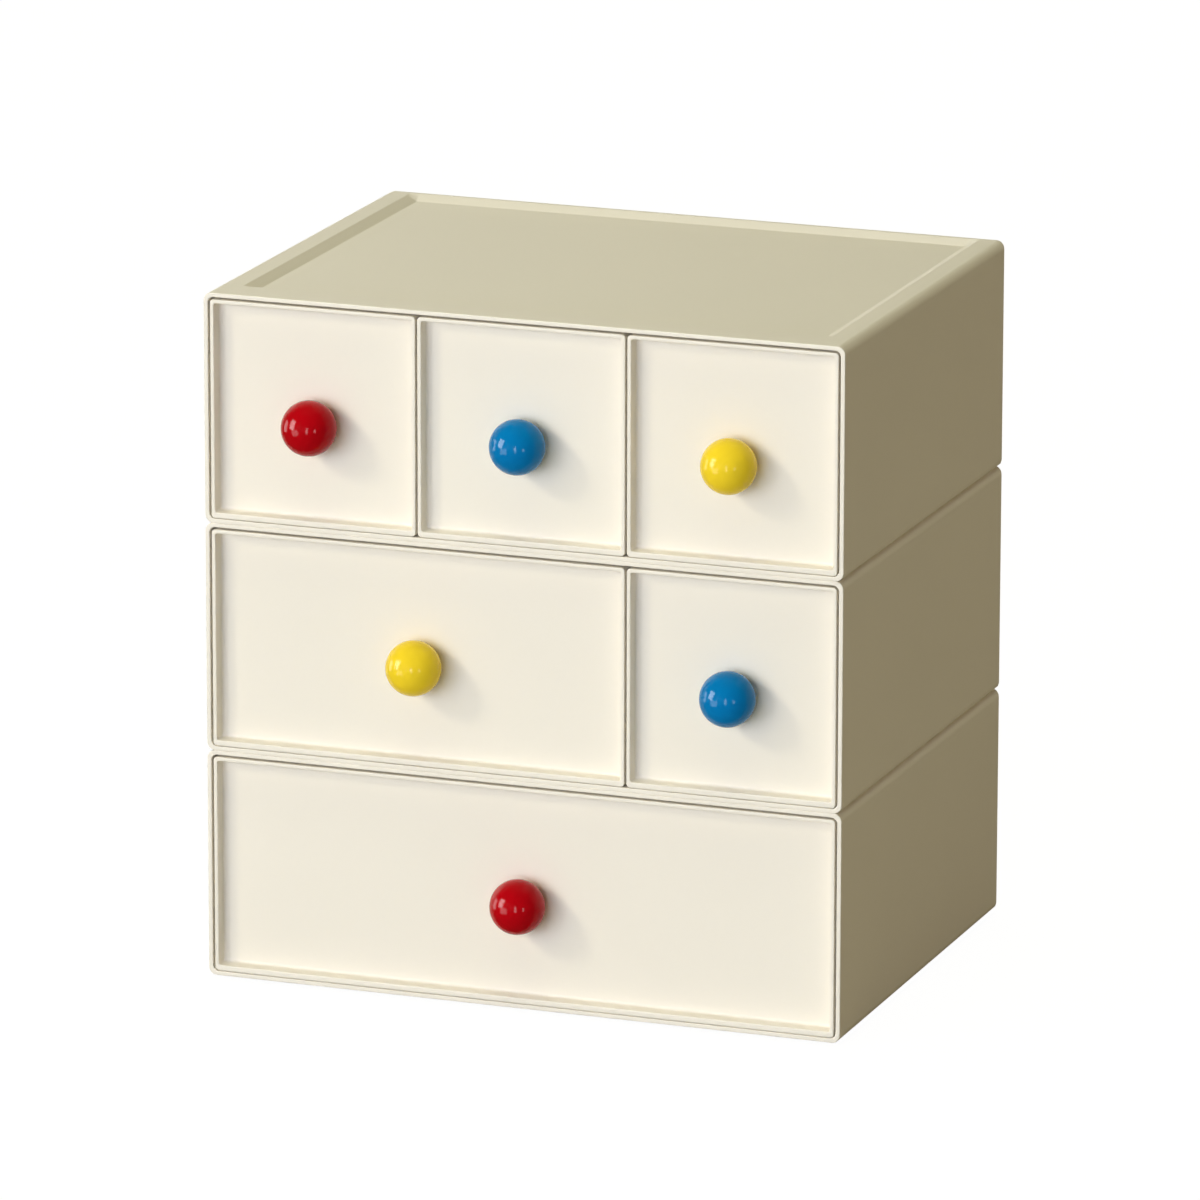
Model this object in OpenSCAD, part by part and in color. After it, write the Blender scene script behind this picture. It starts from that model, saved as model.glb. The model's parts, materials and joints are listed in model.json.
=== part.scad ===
// Desktop mini drawers: three stacking casings with six drawers on ball knobs.
// X runs across the front, -Y is the front, +Z is up. The origin is the centre of
// the footprint, knobs included, on the surface that the feet stand on.

/* [Cabinet] */
// Width across the front
cabinet_w = 240; // [200:1:300]
// Depth of a casing, from its front edge to its back
cabinet_d = 180; // [140:1:240]
// Height of one casing, from its underside to the rim of its tray
tier_h = 84; // [66:1:110]

/* [Casing] */
// Wall of the casings
casing_wall = 1.6; // [1.4:0.1:2.2]
// Radius of the long outer edges
edge_r = 3; // [2.5:0.1:4]
// Radius of the upright edges at the back
rear_corner_r = 3; // [2:0.1:4]
// Radius of the top and bottom edges at the back
rear_edge_r = 1.5; // [1:0.1:2.5]
// Radius of the mouth's corners, inside the wall
mouth_r = 2.2; // [1.8:0.1:3]

/* [Tray] */
// Depth of the tray in the top of each casing
tray_depth = 2; // [1.6:0.1:3]
// Width over which the tray's walls slope down to its floor
tray_slope = 4.2; // [3:0.1:6]
// Width of the flat rails at the left and right of the tray
tray_rail = 9.5; // [7:0.5:14]
// Width of the flat margin in front of the tray
tray_front = 14; // [11:0.5:20]
// Width of the flat rim behind the tray
tray_back = 3; // [2.5:0.1:6]

/* [Feet] */
// Gap left between a foot and the floor of the tray it stands in
foot_gap = 0.2; // [0.1:0.1:0.5]
// Gap left between a foot and the tray's slope
foot_side_gap = 0.4; // [0.3:0.1:1]
// Width of the feet
foot_w = 5; // [4:0.5:8]
// Length of each leg of the L-shaped feet
foot_leg = 22; // [14:1:30]
// Outer corner radius of the feet
foot_r = 3; // [2:0.5:3.5]

/* [Runners and dividers] */
// Height of the runner ribs on the casing floor
runner_h = 0.8; // [0.6:0.1:1.2]
// Width that a runner reaches in under the flat of the drawer it carries
runner_bearing = 2.5; // [1.5:0.1:4]
// Distance from the front edge to the start of the runners
runner_start = 12; // [11:0.5:18]
// Thickness of the divider plates
divider_t = 1.6; // [1.2:0.1:2]
// Clearance of a divider plate in its channel, each side
divider_fit = 0.05; // [0.05:0.05:0.15]
// Distance from the tray's slope to the front edge of the dividers and stops
divider_setback = 1; // [0.5:0.5:5]
// Clearance above and behind a divider plate
divider_end_gap = 0.2; // [0.1:0.1:0.4]
// Height of the ribs that hold the dividers under the roof
channel_h = 1.5; // [1:0.1:2]
// Thickness of those ribs
channel_t = 1.2; // [0.8:0.1:1.6]
// Height of the drawer stop under the roof
stop_h = 2.6; // [2.2:0.1:3.2]
// Thickness of the drawer stop
stop_t = 1.8; // [1.4:0.1:2.4]
// Width of the drawer stop
stop_w = 26; // [22:1:34]

/* [Drawers] */
// Gap round the drawer fronts and between them
front_gap = 0.8; // [0.6:0.1:1]
// Gap under a drawer
run_gap = 0.2; // [0.1:0.05:0.3]
// Gap behind a closed drawer
back_gap = 0.3; // [0.2:0.1:0.6]
// Width of the raised rim at the top and sides of a drawer front
rim_w = 1.4; // [1.2:0.1:2.2]
// Width of the rim along its bottom
rim_foot = 2.1; // [1.4:0.1:3]
// Depth of the panel behind the rim
recess_d = 5.5; // [4:0.5:7]
// Corner radius of the recess
recess_r = 0.8; // [0.4:0.1:1.2]
// Thickness of the front panel
panel_t = 1.8; // [1.5:0.1:2.2]
// Distance from the side of a front to the side of the box behind it
box_inset = 2.2; // [2:0.1:3]
// Walls of the drawer box
box_wall = 1.6; // [1.2:0.1:2]
// Floor of the drawer box
box_floor = 1.6; // [1.2:0.1:2.2]
// Radius of the box's upright edges at the back
box_corner_r = 4; // [3:0.5:6]
// Radius of the box's long edges at the bottom
box_edge_r = 2.5; // [2.1:0.1:3.5]
// Gap between the top of a box and the drawer stop
box_top_gap = 1.6; // [1:0.1:4]
// Width of the stop tab on a drawer's back wall
tab_w = 20; // [14:1:22]
// Gap between a stop tab and the roof
tab_gap = 0.5; // [0.3:0.1:0.8]

/* [Knobs] */
// Diameter of the ball
ball_d = 20; // [16:0.5:24]
// Depth to which the ball is cut flat at its seat
seat_cut = 1; // [0.5:0.1:2]
// Diameter of the collar round the seat
collar_d = 11; // [10:0.5:13]
// Height of the ball's centre above the underside of its casing
knob_z = 38.7; // [30:0.1:46]
// Depth of the screw hole in a knob
bore_depth = 9; // [8.5:0.5:10]

/* [Knob screws] */
// Thread diameter
screw_d = 4; // [3:0.5:5]
// Length under the head
screw_length = 10; // [9:0.5:10]
// Diameter of the head
screw_head_d = 8; // [7:0.5:9]
// Height of the head
screw_head_h = 2.4; // [2:0.1:3]
// Clearance of the thread in the knob, each side
bore_fit = 0.05; // [0.05:0.05:0.1]
// Clearance of the thread in the front panel, each side
panel_hole_fit = 0.2; // [0.1:0.05:0.4]
// Width of the driver's cross slot
slot_w = 0.9; // [0.7:0.1:1.2]
// Length of the driver's cross slot
slot_l = 3.8; // [3:0.1:4.5]
// Depth of the driver's cross slot
slot_depth = 1.2; // [0.8:0.1:1.4]

/* [Hidden] */
$fn = 64;
bays = 3;                                    // bays across a casing
eps = 1;                                     // overshoot of a cut past the face it opens

cream = "#F3EBDC";
red = "#B00410";
blue = "#0476B4";
yellow = "#F4D22C";
steel = "#B9BCC0";

foot_h = tray_depth - foot_gap;
ball_stand = ball_d / 2 - seat_cut;                   // from the front panel to the ball's centre
knob_reach = ball_d - seat_cut - recess_d;            // how far a knob stands out in front
front_y = (knob_reach - cabinet_d) / 2;               // front edge of the casings

inner_w = cabinet_w - 2 * casing_wall;
inner_h = tier_h - 2 * casing_wall;
roof_z = tier_h - tray_depth - casing_wall;           // underside of the tray's floor
roof_flat_y = tray_front + tray_slope;                // where the flat of the roof begins
back_y = cabinet_d - casing_wall;                     // inner face of the back wall

bay_pitch = (inner_w - front_gap) / bays;             // front to front
divider_y = roof_flat_y + divider_setback;
divider_l = back_y - divider_end_gap - divider_y;
channel_in = divider_t / 2 + divider_fit;
runner_reach = box_inset + box_edge_r + runner_bearing;
rib_out = front_gap / 2 + runner_reach;               // from a bay line to a runner's far side
wall_rib_w = front_gap + runner_reach;                // from the side wall to the same

front_z = casing_wall + run_gap;                      // underside of a drawer front
front_h = inner_h - run_gap - front_gap;
front_r = mouth_r - front_gap;
front_t = recess_d + panel_t;
box_z = casing_wall + runner_h + run_gap;             // underside of a drawer box
box_top = roof_z - stop_h - box_top_gap;
box_back = back_y - back_gap;
tab_top = roof_z - tab_gap;

// Where a bay line, the boundary between bay i - 1 and bay i, lies across the casing.
function bay_line(i) = (i - bays / 2) * bay_pitch;
// Width of a drawer front that spans a number of bays.
function front_w(span) = span * bay_pitch - front_gap;
// Centre of a drawer that starts at bay i and spans a number of bays.
function drawer_x(i, span) = (bay_line(i) + bay_line(i + span)) / 2;

// A rectangle with round corners, centred.
module round_rect(w, h, r) {
    square([w - 2 * r, h], center = true);
    square([w, h - 2 * r], center = true);
    for (sx = [-1, 1], sy = [-1, 1])
        translate([sx * (w / 2 - r), sy * (h / 2 - r)])
            circle(r);
}

// A round-edged bar along +Y from y0 to y1, w wide, from z0 to z1.
module bar_y(w, y0, y1, z0, z1, r) {
    translate([0, y1, (z0 + z1) / 2])
        rotate([90, 0, 0])
            linear_extrude(y1 - y0)
                round_rect(w, z1 - z0, r);
}

// An upright block, w wide, from y0 to y1 and z0 to z1, with round upright edges.
module block_z(w, y0, y1, z0, z1, r) {
    translate([0, (y0 + y1) / 2, z0])
        linear_extrude(z1 - z0)
            round_rect(w, y1 - y0, r);
}

// A plain box centred across X at x, w wide.
module plain_box(x, w, y0, y1, z0, z1) {
    translate([x - w / 2, y0, z0])
        cube([w, y1 - y0, z1 - z0]);
}

// The sunk form of the tray: level at z_top, sloping in on all four sides to its floor.
module tray_form(z_top, rise) {
    half_w = cabinet_w / 2 - tray_rail;
    floor_z = z_top - tray_depth;
    tray_end = cabinet_d - tray_back;
    intersection() {
        translate([0, cabinet_d, 0])
            rotate([90, 0, 0])
                linear_extrude(cabinet_d)
                    polygon([
                        [-half_w + tray_slope, floor_z], [half_w - tray_slope, floor_z],
                        [half_w, z_top], [half_w, z_top + rise],
                        [-half_w, z_top + rise], [-half_w, z_top]
                    ]);
        translate([-cabinet_w / 2, 0, 0])
            rotate([90, 0, 90])
                linear_extrude(cabinet_w)
                    polygon([
                        [roof_flat_y, floor_z], [tray_end - tray_slope, floor_z],
                        [tray_end, z_top], [tray_end, z_top + rise],
                        [tray_front, z_top + rise], [tray_front, z_top]
                    ]);
    }
}

// Outside of a casing: round long edges, round upright and level edges at the back.
module casing_form() {
    run_out = 4 * edge_r;
    intersection() {
        bar_y(cabinet_w, 0, cabinet_d, 0, tier_h, edge_r);
        block_z(cabinet_w, -run_out, cabinet_d, 0, tier_h, rear_corner_r);
        translate([-cabinet_w / 2, 0, 0])
            rotate([90, 0, 90])
                linear_extrude(cabinet_w)
                    translate([(cabinet_d - run_out) / 2, tier_h / 2])
                        round_rect(cabinet_d + run_out, tier_h, rear_edge_r);
    }
}

// Hollow of a casing, open at the front; its roof follows the tray above it.
module casing_hollow() {
    difference() {
        bar_y(inner_w, -eps, back_y, casing_wall, tier_h - casing_wall, mouth_r);
        tray_form(tier_h - casing_wall, eps);
    }
}

// Four L-shaped feet that drop into the tray of the casing below.
module feet() {
    side = tray_rail + tray_slope + foot_side_gap;
    w = cabinet_w - 2 * side;
    y0 = roof_flat_y + foot_side_gap;
    y1 = cabinet_d - tray_back - tray_slope - foot_side_gap;
    sink = casing_wall / 2;
    translate([0, (y0 + y1) / 2, -foot_h])
        linear_extrude(foot_h + sink)
            intersection() {
                difference() {
                    round_rect(w, y1 - y0, foot_r);
                    square([w - 2 * foot_w, y1 - y0 - 2 * foot_w], center = true);
                }
                for (sx = [-1, 1], sy = [-1, 1])
                    translate([sx * (w - foot_leg) / 2, sy * (y1 - y0 - foot_leg) / 2])
                        square(foot_leg, center = true);
            }
}

// Runner ribs on the floor: one along each side wall, a pair along each bay line.
// The pair is also the channel that a divider plate stands in.
module floor_ribs() {
    z0 = casing_wall / 2;
    z1 = casing_wall + runner_h;
    y1 = back_y + casing_wall / 2;
    for (s = [-1, 1]) {
        plain_box(s * (inner_w - wall_rib_w) / 2, wall_rib_w, runner_start, y1, z0, z1);
        for (i = [1 : bays - 1])
            plain_box(bay_line(i) + s * (channel_in + rib_out) / 2, rib_out - channel_in,
                      runner_start, y1, z0, z1);
    }
}

// Ribs under the roof: a pair along each bay line that holds a divider plate, and a
// stop behind the mouth of each bay, which a drawer's tab meets when it is pulled out.
module roof_ribs() {
    z1 = roof_z + casing_wall / 2;
    y1 = back_y + casing_wall / 2;
    for (i = [1 : bays - 1], s = [-1, 1])
        plain_box(bay_line(i) + s * (channel_in + channel_t / 2), channel_t,
                  divider_y, y1, roof_z - channel_h, z1);
    for (i = [0 : bays - 1])
        plain_box(drawer_x(i, 1), stop_w, divider_y, divider_y + stop_t, roof_z - stop_h, z1);
}

module casing() {
    color(cream) {
        difference() {
            casing_form();
            casing_hollow();
            tray_form(tier_h, eps);
        }
        feet();
        floor_ribs();
        roof_ribs();
    }
}

// A thin plate that stands in the floor channel and under the roof channel.
module divider(i) {
    color(cream)
        plain_box(bay_line(i), divider_t, divider_y, divider_y + divider_l,
                  casing_wall, roof_z - divider_end_gap);
}

// One moulding: a front with a raised rim, and the box behind it.
module drawer(first_bay, span) {
    w = front_w(span);
    box_w = w - 2 * box_inset;
    hollow_w = box_w - 2 * box_wall;
    hollow_r = box_corner_r - box_wall;
    floor_z = box_z + box_floor;
    translate([drawer_x(first_bay, span), 0, 0])
        color(cream)
            difference() {
                union() {
                    bar_y(w, 0, front_t, front_z, front_z + front_h, front_r);
                    intersection() {
                        bar_y(box_w, front_t / 2, box_back, box_z, box_top + box_edge_r, box_edge_r);
                        block_z(box_w, -box_corner_r, box_back, box_z, box_top, box_corner_r);
                    }
                    for (i = [0 : span - 1])
                        plain_box((i - (span - 1) / 2) * bay_pitch, tab_w,
                                  box_back - box_wall, box_back, box_top - box_wall, tab_top);
                }
                bar_y(w - 2 * rim_w, -eps, recess_d, front_z + rim_foot,
                      front_z + front_h - rim_w, recess_r);
                intersection() {
                    bar_y(hollow_w, front_t, box_back - box_wall, floor_z,
                          tier_h + box_edge_r, box_edge_r - box_wall / 2);
                    block_z(hollow_w, front_t, box_back - box_wall, floor_z, tier_h, hollow_r);
                }
                translate([0, front_t + eps, knob_z])
                    rotate([90, 0, 0])
                        cylinder(h = panel_t + 2 * eps, d = screw_d + 2 * panel_hole_fit);
            }
}

// A ball that is cut flat where it seats on the front panel, with a collar that widens the
// seat and a blind hole for the screw.
module knob(first_bay, span, tint) {
    translate([drawer_x(first_bay, span), recess_d, knob_z])
        rotate([90, 0, 0])
            color(tint)
                difference() {
                    union() {
                        intersection() {
                            translate([0, 0, ball_stand])
                                sphere(d = ball_d);
                            cylinder(h = ball_d, d = ball_d + 2 * eps);
                        }
                        cylinder(h = ball_stand, d = collar_d);
                    }
                    translate([0, 0, -eps])
                        cylinder(h = bore_depth + eps, d = screw_d + 2 * bore_fit);
                }
}

// A pan-head screw, driven from inside the drawer through the panel into the knob.
module knob_screw(first_bay, span) {
    head_r = screw_head_d / 2;
    dome_r = (head_r * head_r + screw_head_h * screw_head_h) / (2 * screw_head_h);
    translate([drawer_x(first_bay, span), front_t, knob_z])
        rotate([-90, 0, 0])
            color(steel)
                difference() {
                    union() {
                        translate([0, 0, -screw_length])
                            cylinder(h = screw_length + screw_head_h / 2, d = screw_d);
                        intersection() {
                            cylinder(h = screw_head_h, r = head_r + eps);
                            translate([0, 0, screw_head_h - dome_r])
                                sphere(r = dome_r);
                        }
                    }
                    for (turn = [0, 90])
                        rotate([0, 0, turn])
                            translate([-slot_l / 2, -slot_w / 2, screw_head_h - slot_depth])
                                cube([slot_l, slot_w, slot_depth + eps]);
                }
}

// Puts a piece in its tier: 0 is the bottom casing, 2 the top one.
module in_tier(level) {
    translate([0, front_y, foot_h + level * tier_h])
        children();
}

in_tier(0) casing();  // casing_bottom
in_tier(1) casing();  // casing_middle
in_tier(2) casing();  // casing_top
in_tier(1) divider(2);  // divider_middle
in_tier(2) divider(1);  // divider_top_left
in_tier(2) divider(2);  // divider_top_right
in_tier(0) drawer(0, 3);  // drawer_bottom
in_tier(1) drawer(0, 2);  // drawer_middle_wide
in_tier(1) drawer(2, 1);  // drawer_middle_small
in_tier(2) drawer(0, 1);  // drawer_top_left
in_tier(2) drawer(1, 1);  // drawer_top_middle
in_tier(2) drawer(2, 1);  // drawer_top_right
in_tier(0) knob(0, 3, red);  // knob_bottom
in_tier(1) knob(0, 2, yellow);  // knob_middle_wide
in_tier(1) knob(2, 1, blue);  // knob_middle_small
in_tier(2) knob(0, 1, red);  // knob_top_left
in_tier(2) knob(1, 1, blue);  // knob_top_middle
in_tier(2) knob(2, 1, yellow);  // knob_top_right
in_tier(0) knob_screw(0, 3);  // knob_screw_bottom
in_tier(1) knob_screw(0, 2);  // knob_screw_middle_wide
in_tier(1) knob_screw(2, 1);  // knob_screw_middle_small
in_tier(2) knob_screw(0, 1);  // knob_screw_top_left
in_tier(2) knob_screw(1, 1);  // knob_screw_top_middle
in_tier(2) knob_screw(2, 1);  // knob_screw_top_right
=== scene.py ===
"""Desktop mini drawers: the finished surfaces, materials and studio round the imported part.

Three cream casings with a shallow tray in their tops, six drawers with recessed fronts, and
six glossy ball knobs. Lengths are metres in the part's own frame: X runs across the front,
-Y is the front and +Z is up. Inside a tier, Y starts at the casing's front edge and Z at its
underside.
"""

import json
import math

import bmesh
import bpy
import numpy as np
from bpy.props import FloatProperty, FloatVectorProperty, PointerProperty
from mathutils import Matrix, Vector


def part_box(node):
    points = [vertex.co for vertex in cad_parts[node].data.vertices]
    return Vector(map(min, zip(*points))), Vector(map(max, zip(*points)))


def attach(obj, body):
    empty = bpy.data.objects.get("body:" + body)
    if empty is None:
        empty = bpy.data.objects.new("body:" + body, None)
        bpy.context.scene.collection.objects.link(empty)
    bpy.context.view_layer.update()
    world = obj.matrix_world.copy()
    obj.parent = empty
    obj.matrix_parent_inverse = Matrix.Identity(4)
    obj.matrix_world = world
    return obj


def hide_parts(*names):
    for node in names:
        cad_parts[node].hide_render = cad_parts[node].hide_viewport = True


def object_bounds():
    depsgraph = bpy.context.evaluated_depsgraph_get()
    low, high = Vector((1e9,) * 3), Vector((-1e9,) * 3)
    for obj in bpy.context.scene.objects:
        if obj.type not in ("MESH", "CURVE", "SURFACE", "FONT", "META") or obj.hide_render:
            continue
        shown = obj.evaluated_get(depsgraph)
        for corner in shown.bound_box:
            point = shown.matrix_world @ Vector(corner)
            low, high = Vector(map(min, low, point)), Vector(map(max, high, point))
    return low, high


bl_info = {
    "name": "Mini Drawers",
    "version": (1, 0, 0),
    "blender": (4, 5, 0),
    "location": "View3D > Sidebar > Mini Drawers",
    "description": "Casings, drawers, knobs and studio of a desktop drawer stack",
    "category": "Add Mesh",
}

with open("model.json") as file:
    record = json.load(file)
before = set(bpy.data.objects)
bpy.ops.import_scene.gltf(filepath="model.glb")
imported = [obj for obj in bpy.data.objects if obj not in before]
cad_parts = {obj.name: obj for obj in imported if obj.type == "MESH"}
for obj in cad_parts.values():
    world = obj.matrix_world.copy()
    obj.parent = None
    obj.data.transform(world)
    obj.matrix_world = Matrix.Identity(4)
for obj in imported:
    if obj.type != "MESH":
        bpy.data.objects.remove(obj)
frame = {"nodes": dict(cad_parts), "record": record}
CAD_LOW, CAD_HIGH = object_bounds()

MM = 0.001
ARC_STEPS = 6          # flats on a rounded edge
SMALL_ARC_STEPS = 3    # flats on a rounding that is hardly seen
EASE = 0.25 * MM       # distance from a rounded edge to the point that keeps a flat face flat
MERGE = 0.5e-6         # points closer than this are one
SHARP = math.radians(35)  # an edge that turns by more is shaded as a sharp one
BAYS = 3               # bays across a casing
LAMP_DISTANCE = 5.0    # from the part to every lamp
FLOOR_HALF = 9.0       # half the width of the floor
SENSOR_WIDTH = 36.0    # width of the camera's sensor, in millimetres

CASINGS = [n for n in frame["nodes"] if n.startswith("casing_")]
DIVIDERS = [n for n in frame["nodes"] if n.startswith("divider_")]
DRAWERS = [n for n in frame["nodes"] if n.startswith("drawer_")]
SCREWS = [n for n in frame["nodes"] if n.startswith("knob_screw_")]
KNOBS = [n for n in frame["nodes"] if n.startswith("knob_") and n not in SCREWS]
BODY_OF = {n: b for b, nodes in frame["record"]["behaviour"]["bodies"].items() for n in nodes}
KNOB_SLOTS = {
    "knob_top_left": "knob_red", "knob_top_middle": "knob_blue",
    "knob_top_right": "knob_yellow", "knob_middle_wide": "knob_yellow",
    "knob_middle_small": "knob_blue", "knob_bottom": "knob_red",
}


def length(name, description, millimetres):
    """A length property in metres, from a default in millimetres."""
    return FloatProperty(name=name, description=description, default=millimetres * MM,
                         min=0.0, precision=5, unit="LENGTH", subtype="DISTANCE")


def colour(name, description, red, green, blue):
    """A colour property, from a default in the 0 to 255 steps of a screen colour."""
    linear = [((v / 255 + 0.055) / 1.055) ** 2.4 if v > 10 else v / 255 / 12.92
              for v in (red, green, blue)]
    return FloatVectorProperty(name=name, description=description, default=linear,
                               min=0.0, max=1.0, size=3, subtype="COLOR")


def share(name, description, default):
    """A property from 0 to 1."""
    return FloatProperty(name=name, description=description, default=default,
                         min=0.0, max=1.0, subtype="FACTOR")


def angle(name, description, degrees):
    """An angle property, from a default in degrees."""
    return FloatProperty(name=name, description=description, default=math.radians(degrees),
                         unit="ROTATION", subtype="ANGLE")


class CasingSizes(bpy.types.PropertyGroup):
    wall: length("Wall", "Wall thickness of a casing", 1.6)
    edge_radius: length("Edge radius", "Radius of the long outer edges", 3.0)
    rear_corner: length("Rear corner", "Radius of the upright edges at the back", 3.0)
    rear_edge: length("Rear edge", "Radius of the level edges at the back", 1.5)
    mouth_radius: length("Mouth radius", "Corner radius of the mouth, inside the wall", 2.2)
    lip_radius: length("Lip radius", "Rounding of the front edge of the walls", 0.3)
    tray_depth: length("Tray depth", "Depth of the tray in the top", 2.0)
    tray_slope: length("Tray slope", "Width of the slope round the tray", 4.2)
    tray_rail: length("Tray rail", "Width of the flats left and right of the tray", 9.5)
    tray_front: length("Tray front", "Width of the flat in front of the tray", 14.0)
    tray_back: length("Tray back", "Width of the flat behind the tray", 3.0)
    tray_blend: length("Tray blend", "Half width of the rounding at crest and foot", 0.35)
    foot_height: length("Foot height", "Height of the feet under a casing", 1.8)
    foot_gap: length("Foot gap", "Gap between a foot and the slope beside it", 0.4)
    foot_width: length("Foot width", "Width of the feet", 5.0)
    foot_leg: length("Foot leg", "Length of each leg of a foot", 22.0)
    foot_radius: length("Foot radius", "Outer corner radius of the feet", 3.0)


class RibSizes(bpy.types.PropertyGroup):
    runner_height: length("Runner height", "Height of the runners on the floor", 0.8)
    runner_start: length("Runner start", "Distance from the mouth to the runners", 12.0)
    runner_reach: length("Runner reach", "Width that a runner reaches under a drawer", 7.2)
    slot_half: length("Slot half", "Half width of a divider's channel", 0.85)
    channel_height: length("Channel height", "Height of the ribs under the roof", 1.5)
    channel_width: length("Channel width", "Width of the ribs under the roof", 1.2)
    stop_height: length("Stop height", "Height of the drawer stops", 2.6)
    stop_depth: length("Stop depth", "Thickness of the drawer stops", 1.8)
    stop_width: length("Stop width", "Width of the drawer stops", 26.0)
    setback: length("Setback", "Distance from the tray's slope to the roof ribs", 1.0)
    rounding: length("Rounding", "Rounding of the ribs and plates", 0.3)


class DrawerSizes(bpy.types.PropertyGroup):
    gap: length("Gap", "Gap round a drawer front", 0.8)
    rim: length("Rim", "Width of the raised rim at the top and sides", 1.4)
    rim_foot: length("Rim foot", "Width of the rim along the bottom", 2.1)
    recess: length("Recess", "Depth of the panel behind the rim", 5.5)
    panel: length("Panel", "Thickness of the front panel", 1.8)
    front_radius: length("Front radius", "Corner radius of a front", 1.4)
    recess_radius: length("Recess radius", "Corner radius of the recess", 0.8)
    rim_round: length("Rim rounding", "Rounding of the rim's outer edge", 0.3)
    recess_round: length("Recess rounding", "Rounding of the rim's inner edge", 0.3)
    recess_fillet: length("Recess fillet", "Radius between the panel and its rim", 1.0)
    inset: length("Box inset", "Distance from the side of a front to its box", 2.2)
    wall: length("Box wall", "Thickness of the box's walls", 1.6)
    floor: length("Box floor", "Thickness of the box's floor", 1.6)
    corner_radius: length("Box corner", "Radius of the box's corners at the back", 4.0)
    edge_radius: length("Box edge", "Radius of the box's bottom edges", 2.5)
    inner_radius: length("Inner edge", "Radius between the box's floor and walls", 1.7)
    wall_round: length("Wall rounding", "Rounding of the top of the walls", 0.65)
    bottom: length("Box bottom", "Height of the box's underside in the tier", 2.6)
    top: length("Box top", "Height of the box's walls in the tier", 76.2)
    back: length("Box back", "Distance from the front edge to the back of the box", 178.1)
    tab_width: length("Tab width", "Width of the stop tabs", 20.0)
    tab_gap: length("Tab gap", "Gap between the stop tabs and the roof", 0.5)


class KnobSizes(bpy.types.PropertyGroup):
    ball: length("Ball", "Diameter of the ball", 20.0)
    stand: length("Stand", "Distance from the panel to the ball's centre", 9.0)
    collar: length("Collar", "Diameter of the collar round the seat", 11.0)
    collar_fillet: length("Collar fillet", "Radius between the collar and the ball", 0.5)
    seat_round: length("Seat rounding", "Rounding of the collar's edge and the bore's", 0.15)
    bore: length("Bore", "Diameter of the screw hole", 4.1)
    bore_depth: length("Bore depth", "Depth of the screw hole", 9.0)
    panel_hole: length("Panel hole", "Diameter of the hole in the front panel", 4.4)


class Finishes(bpy.types.PropertyGroup):
    cream: colour("Cream", "Colour of the moulded plastic", 241, 234, 221)
    cream_roughness: share("Cream roughness", "Roughness of the moulded plastic", 0.42)
    cream_specular: share("Cream specular", "Specular level of the moulded plastic", 0.35)
    red: colour("Red", "Colour of the red knobs", 176, 4, 16)
    blue: colour("Blue", "Colour of the blue knobs", 4, 118, 180)
    yellow: colour("Yellow", "Colour of the yellow knobs", 244, 210, 44)
    knob_roughness: share("Knob roughness", "Roughness of the knobs", 0.1)
    knob_specular: share("Knob specular", "Specular level of the knobs", 0.12)
    steel: colour("Steel", "Colour of the screws", 188, 190, 194)
    steel_roughness: share("Steel roughness", "Roughness of the screws", 0.3)


class Studio(bpy.types.PropertyGroup):
    azimuth: angle("Azimuth", "Camera's turn towards +X from straight in front", 20.2523)
    elevation: angle("Elevation", "Camera's height above the horizon", 14.7584)
    roll: angle("Roll", "Camera's turn about its own axis", 0.1004)
    distance: length("Distance", "From the camera to the point that it turns about", 3628.17)
    target_height: length("Target height", "Height of that point", 127.8)
    slide_right: FloatProperty(name="Slide right", description="Camera's slide to its right",
                               default=-0.872 * MM, precision=5, unit="LENGTH")
    slide_up: FloatProperty(name="Slide up", description="Camera's slide upwards",
                            default=3.833 * MM, precision=5, unit="LENGTH")
    lens: FloatProperty(name="Lens", description="Focal length on a 36 mm sensor",
                        default=302.0, min=1.0, unit="CAMERA")
    floor: colour("Floor", "Colour of the floor", 170, 166, 148)
    floor_glow: share("Floor glow", "Share of plain white in the floor that is seen", 0.85)
    floor_white: FloatProperty(name="Floor white", description="Brightness of that plain white",
                               default=1.15, min=0.0)
    fill: colour("Fill", "Colour of the light from all round", 255, 220, 150)
    fill_strength: share("Fill strength", "Strength of the light from all round", 0.03)
    gloss_share: share("Gloss share", "Share of the white backdrop that gloss sees", 0.08)


# Profiles and outlines

def unit(v):
    """The vectors scaled to length 1."""
    return v / np.linalg.norm(v, axis=-1, keepdims=True)


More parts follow.
